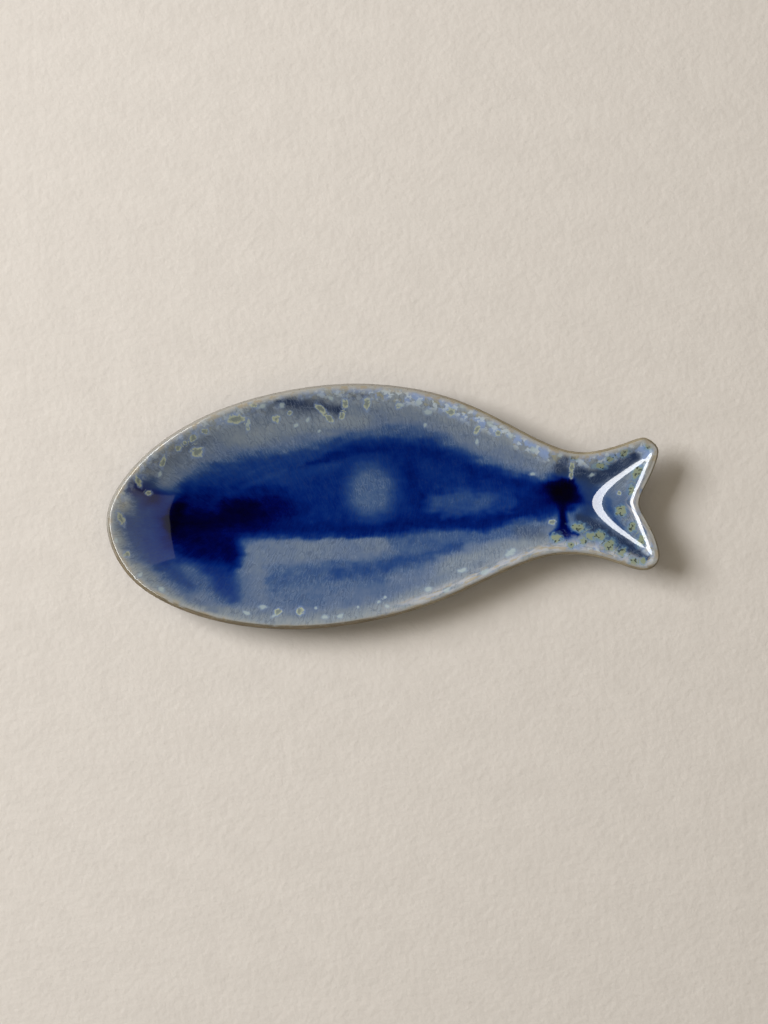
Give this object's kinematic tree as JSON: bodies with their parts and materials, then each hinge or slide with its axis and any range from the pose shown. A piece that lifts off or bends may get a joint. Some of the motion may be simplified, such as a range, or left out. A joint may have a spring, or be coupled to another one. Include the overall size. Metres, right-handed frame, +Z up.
{
  "type": "fish shaped platter",
  "caption": "Fish shaped stoneware serving dish with a shallow basin, a notched tail with a raised web and ridge, a low oval foot and a pooled blue reactive glaze.",
  "frame": {"origin": "on the table, under the middle of the platter's outline", "axes": "+X from the nose to the tail, +Y to the back, +Z up"},
  "size_m": [0.3004, 0.1318, 0.0282],
  "materials": {
    "stoneware": "bare fired stoneware, matt brown, worn smooth on the foot",
    "reactive_glaze": "glossy reactive glaze, cobalt where it pools, grey blue on the walls, mottled with olive crystals near the lip",
    "outer_glaze": "thin glossy grey blue glaze with fine mottling",
    "base_glaze": "thin glossy grey blue glaze"
  },
  "bodies": {
    "root": {"stoneware_body": "stoneware", "inside_glaze": "reactive_glaze", "outside_glaze": "outer_glaze", "base_glaze": "base_glaze"}
  },
  "joints": []
}
